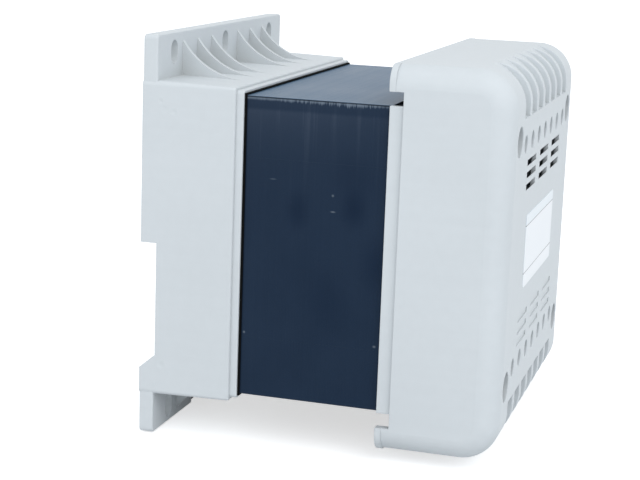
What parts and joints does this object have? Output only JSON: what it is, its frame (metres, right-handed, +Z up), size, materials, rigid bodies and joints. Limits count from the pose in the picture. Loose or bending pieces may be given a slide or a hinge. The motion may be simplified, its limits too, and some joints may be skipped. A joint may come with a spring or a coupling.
{
  "type": "mains transformer",
  "caption": "Open mains transformer: varnished lamination core between a moulded rear base with rail seat and slotted flanges and a moulded cover with terminal holes.",
  "frame": {"origin": "middle of the whole object's outline, on the standing surface under the lower flange", "axes": "+Z up, +Y out of the back towards the wall, the cover's front faces -Y, X across"},
  "size_m": [0.1206, 0.1164, 0.1279],
  "materials": {
    "light_grey_moulding": "fine moulded texture",
    "dark_grey_moulding": "fine moulded texture",
    "spring_steel": "bright drawn wire",
    "varnished_laminations": "satin dark blue varnish over sheet edges",
    "bobbin_moulding": "natural moulding",
    "enamelled_copper": "enamelled wire",
    "insulation_film": "wrapped film soaked in dark varnish",
    "black_strip": "dull black strip",
    "label_film": "satin film, no print but plain rules",
    "zinc_plated_steel": "bright zinc plating",
    "terminal_moulding": "fine moulded texture",
    "terminal_brass": "tinned or bare brass",
    "lead_sleeve": "insulated wire"
  },
  "bodies": {
    "housing": {"bobbin": "bobbin_moulding", "bolt_washers": "zinc_plated_steel", "core_bolts": "zinc_plated_steel", "core_nuts": "zinc_plated_steel", "e_laminations": "varnished_laminations", "earth_strap": "terminal_brass", "edge_strip": "black_strip", "front_cover": "light_grey_moulding", "i_laminations": "varnished_laminations", "inner_insulation": "insulation_film", "left_latch_spring": "spring_steel", "lower_terminal_block": "terminal_moulding", "lower_terminal_clamps": "terminal_brass", "lower_terminal_screws": "zinc_plated_steel", "nameplate": "label_film", "outer_insulation": "insulation_film", "primary_leads": "lead_sleeve", "primary_winding": "enamelled_copper", "rear_base": "light_grey_moulding", "right_latch_spring": "spring_steel", "secondary_leads": "enamelled_copper", "secondary_winding": "enamelled_copper", "upper_terminal_block": "terminal_moulding", "upper_terminal_clamps": "terminal_brass", "upper_terminal_screws": "zinc_plated_steel"},
    "left_latch": {"left_rail_latch": "dark_grey_moulding"},
    "right_latch": {"right_rail_latch": "dark_grey_moulding"}
  },
  "joints": [
    {"name": "left_latch_slide", "type": "slide", "parent": "housing", "child": "left_latch", "axis": [0, 0, -1], "range_m": [0, 0.0045], "stiffness_N_per_m": 900, "springref_m": -0.003, "deforming": ["left_latch_spring"]},
    {"name": "right_latch_slide", "type": "slide", "parent": "housing", "child": "right_latch", "axis": [0, 0, -1], "range_m": [0, 0.0045], "stiffness_N_per_m": 900, "springref_m": -0.003, "deforming": ["right_latch_spring"]}
  ]
}
